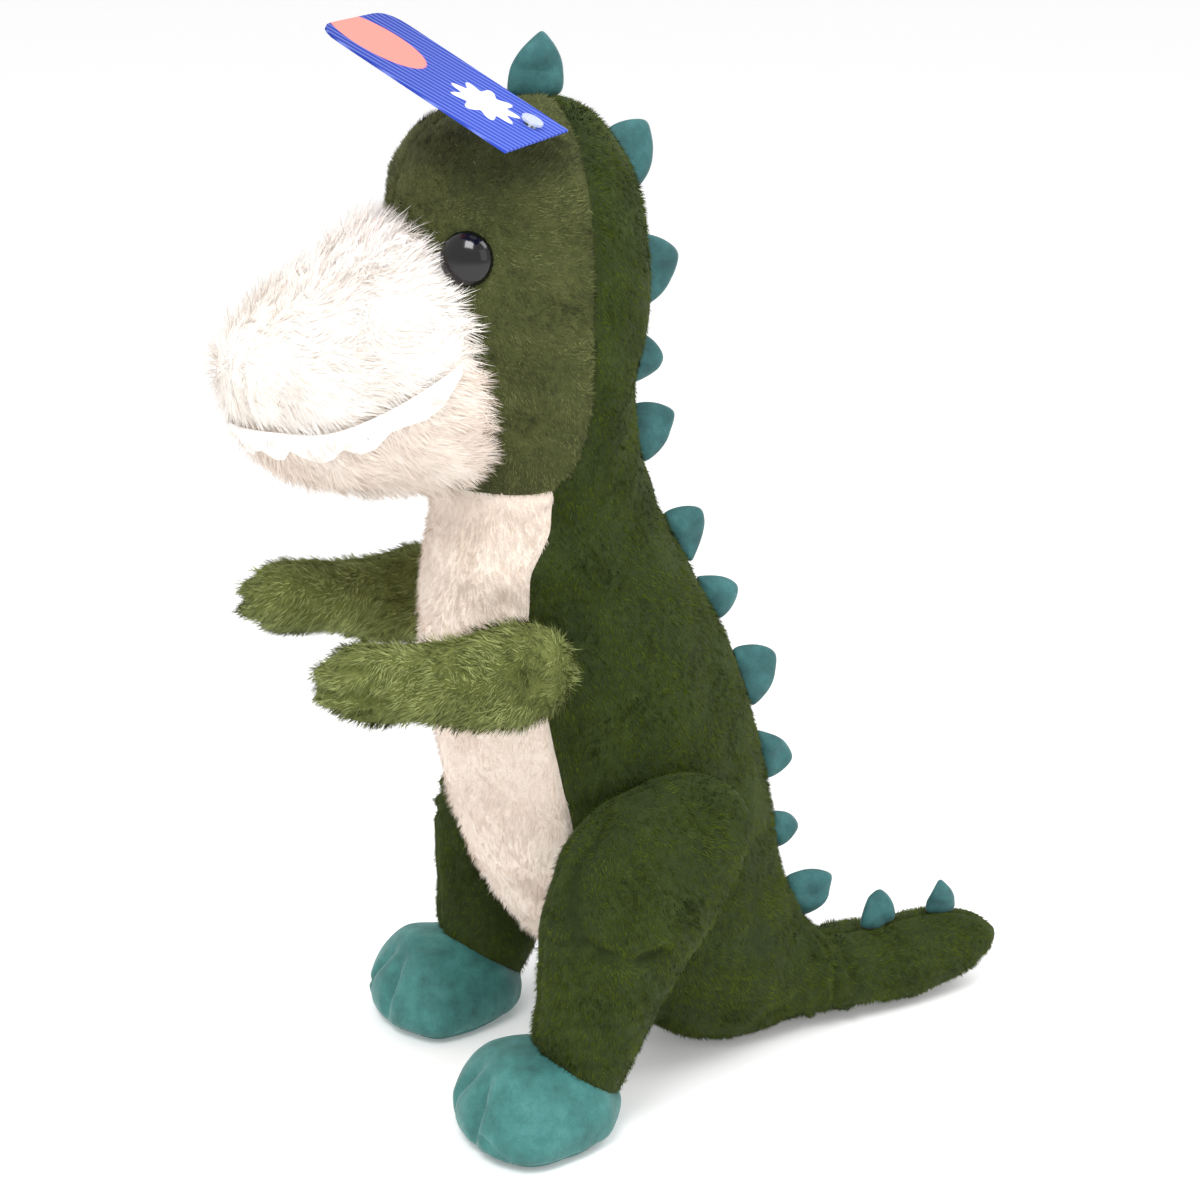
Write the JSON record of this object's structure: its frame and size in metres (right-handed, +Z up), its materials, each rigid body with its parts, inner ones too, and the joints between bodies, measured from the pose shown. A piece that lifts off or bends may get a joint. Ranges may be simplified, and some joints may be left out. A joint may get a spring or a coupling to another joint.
{
  "type": "stuffed toy dinosaur",
  "caption": "Upright stuffed plush dinosaur with a long furry snout, thread-jointed arms, stitched-on legs, a resting tail and a row of fins down its back.",
  "frame": {"origin": "middle of the toy's length and width, on the surface it sits on", "axes": "+Z up, -Y the way the snout points, +X towards the toy's own left side"},
  "size_m": [0.1604, 0.2946, 0.3696],
  "materials": {
    "dark_plush": "short velvety pile, matt with a soft sheen",
    "face_plush": "short velvety pile, a little warmer and shorter",
    "arm_plush": "longer, looser pile",
    "cream_plush": "short soft pile",
    "white_long_plush": "long shaggy pile",
    "teal_velour": "very short velour, smooth with a soft sheen",
    "polyester_fibre": "loose white fibre filling",
    "white_felt": "flat felt",
    "eye_black": "high gloss",
    "washer_plastic": "satin",
    "joint_thread": "strong twisted thread",
    "tag_board": "printed card with a gloss film",
    "clear_plastic": "clear moulded loop"
  },
  "bodies": {
    "torso": {"belly_panel": "cream_plush", "body_stuffing": "polyester_fibre", "side_panel_left": "dark_plush", "side_panel_right": "dark_plush", "shoulder_thread_left": "joint_thread", "shoulder_thread_right": "joint_thread", "back_fin_1": "teal_velour", "back_fin_2": "teal_velour", "back_fin_3": "teal_velour", "back_fin_4": "teal_velour", "back_fin_5": "teal_velour", "back_fin_6": "teal_velour"},
    "head": {"throat_panel": "cream_plush", "head_stuffing": "polyester_fibre", "snout_gusset": "white_long_plush", "jaw_panel": "cream_plush", "muzzle_stuffing": "polyester_fibre", "teeth_strip": "white_felt", "tag_loop": "clear_plastic", "neck_panel_left": "dark_plush", "neck_panel_right": "dark_plush", "face_panel_left": "face_plush", "face_panel_right": "face_plush", "head_back_panel_left": "dark_plush", "head_back_panel_right": "dark_plush", "snout_panel_left": "white_long_plush", "snout_panel_right": "white_long_plush", "eye_left": "eye_black", "eye_right": "eye_black", "eye_washer_left": "washer_plastic", "eye_washer_right": "washer_plastic", "head_fin_1": "teal_velour", "head_fin_2": "teal_velour", "head_fin_3": "teal_velour", "head_fin_4": "teal_velour", "head_fin_5": "teal_velour"},
    "tag": {"tag_card": "tag_board"},
    "tail": {"tail_panel_left": "dark_plush", "tail_panel_right": "dark_plush", "tail_stuffing": "polyester_fibre", "tail_fin_1": "teal_velour", "tail_fin_2": "teal_velour"},
    "arm_left": {"arm_outer_left": "arm_plush", "arm_inner_left": "arm_plush", "arm_stuffing_left": "polyester_fibre"},
    "leg_left": {"leg_outer_left": "dark_plush", "leg_inner_left": "dark_plush", "leg_stuffing_left": "polyester_fibre", "foot_top_left": "teal_velour", "foot_stuffing_left": "polyester_fibre", "sole_left": "teal_velour"},
    "arm_right": {"arm_outer_right": "arm_plush", "arm_inner_right": "arm_plush", "arm_stuffing_right": "polyester_fibre"},
    "leg_right": {"leg_outer_right": "dark_plush", "leg_inner_right": "dark_plush", "leg_stuffing_right": "polyester_fibre", "foot_top_right": "teal_velour", "foot_stuffing_right": "polyester_fibre", "sole_right": "teal_velour"}
  },
  "joints": [
    {"name": "neck_nod", "type": "hinge", "parent": "torso", "child": "head", "pos_m": [0, -0.0367, 0.208], "axis": [1, 0, 0], "range_deg": [-5, 5]},
    {"name": "shoulder_left_turn", "type": "hinge", "parent": "torso", "child": "arm_left", "pos_m": [0.0495, -0.0612, 0.165], "axis": [1, 0, 0], "range_deg": [-15, 60]},
    {"name": "shoulder_right_turn", "type": "hinge", "parent": "torso", "child": "arm_right", "pos_m": [-0.0495, -0.0612, 0.165], "axis": [1, 0, 0], "range_deg": [-15, 60]},
    {"name": "hip_left_swing", "type": "hinge", "parent": "torso", "child": "leg_left", "pos_m": [0.0412, -0.0237, 0.086], "axis": [1, 0, 0], "range_deg": [-20, 3]},
    {"name": "hip_right_swing", "type": "hinge", "parent": "torso", "child": "leg_right", "pos_m": [-0.0412, -0.0237, 0.086], "axis": [1, 0, 0], "range_deg": [-20, 3]},
    {"name": "tail_swing", "type": "hinge", "parent": "torso", "child": "tail", "pos_m": [0, 0.0533, 0.015], "axis": [0, 0, 1], "range_deg": [-12, 12]},
    {"name": "tag_tip", "type": "hinge", "parent": "head", "child": "tag", "pos_m": [0.04305, -0.05698, 0.33815], "axis": [-0.7007, 0.7127, 0.033], "range_deg": [-6, 8]}
  ]
}
